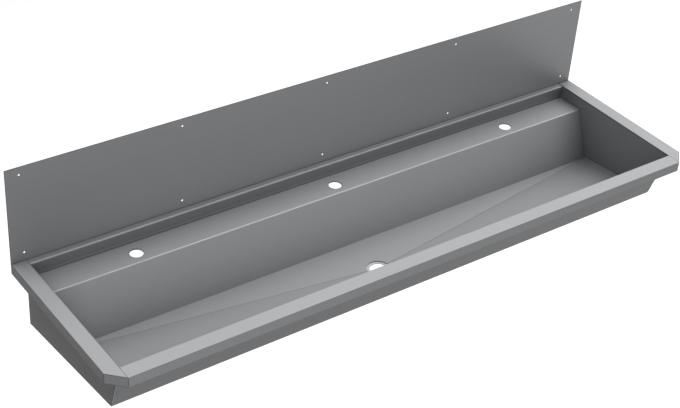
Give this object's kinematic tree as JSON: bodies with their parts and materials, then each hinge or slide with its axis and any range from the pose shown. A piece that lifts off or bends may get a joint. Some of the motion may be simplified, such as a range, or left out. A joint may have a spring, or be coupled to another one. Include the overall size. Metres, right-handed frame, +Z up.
{
  "type": "trough sink",
  "caption": "Wall-hung stainless wash trough with a splashback, a tap ledge with tap holes, a sloped bowl with a creased floor and a central waste hole.",
  "frame": {"origin": "on the wall plane, midway along the trough, at the height of the rim's upper face", "axes": "+X along the trough to the right as seen from the front, +Y into the wall, +Z up"},
  "size_m": [1.8, 0.5, 0.462],
  "materials": {
    "satin_sheet": "satin-polished stainless sheet, fine grain along the length",
    "plain_steel": "mill-finish stainless steel",
    "zinc_plate": "zinc-plated steel, dull",
    "pad_rubber": "matt black rubber",
    "bitumen": "matt black bitumen sheet"
  },
  "bodies": {
    "root": {"splashback": "satin_sheet", "back_strip": "satin_sheet", "tap_ledge": "satin_sheet", "back_wall": "satin_sheet", "floor_pan": "satin_sheet", "waste_seat": "satin_sheet", "front_wall": "satin_sheet", "front_rim": "satin_sheet", "left_rim": "satin_sheet", "right_rim": "satin_sheet", "left_end_panel": "satin_sheet", "right_end_panel": "satin_sheet", "tap_plates": "plain_steel", "front_stiffener": "plain_steel", "ledge_studs": "plain_steel", "earth_tag": "plain_steel", "left_bracket": "zinc_plate", "right_bracket": "zinc_plate", "stud_washers": "zinc_plate", "stud_nuts": "zinc_plate", "earth_screw": "zinc_plate", "earth_washer": "zinc_plate", "earth_nut": "zinc_plate", "bracket_pads": "pad_rubber", "left_sound_pad": "bitumen", "right_sound_pad": "bitumen"}
  },
  "joints": []
}
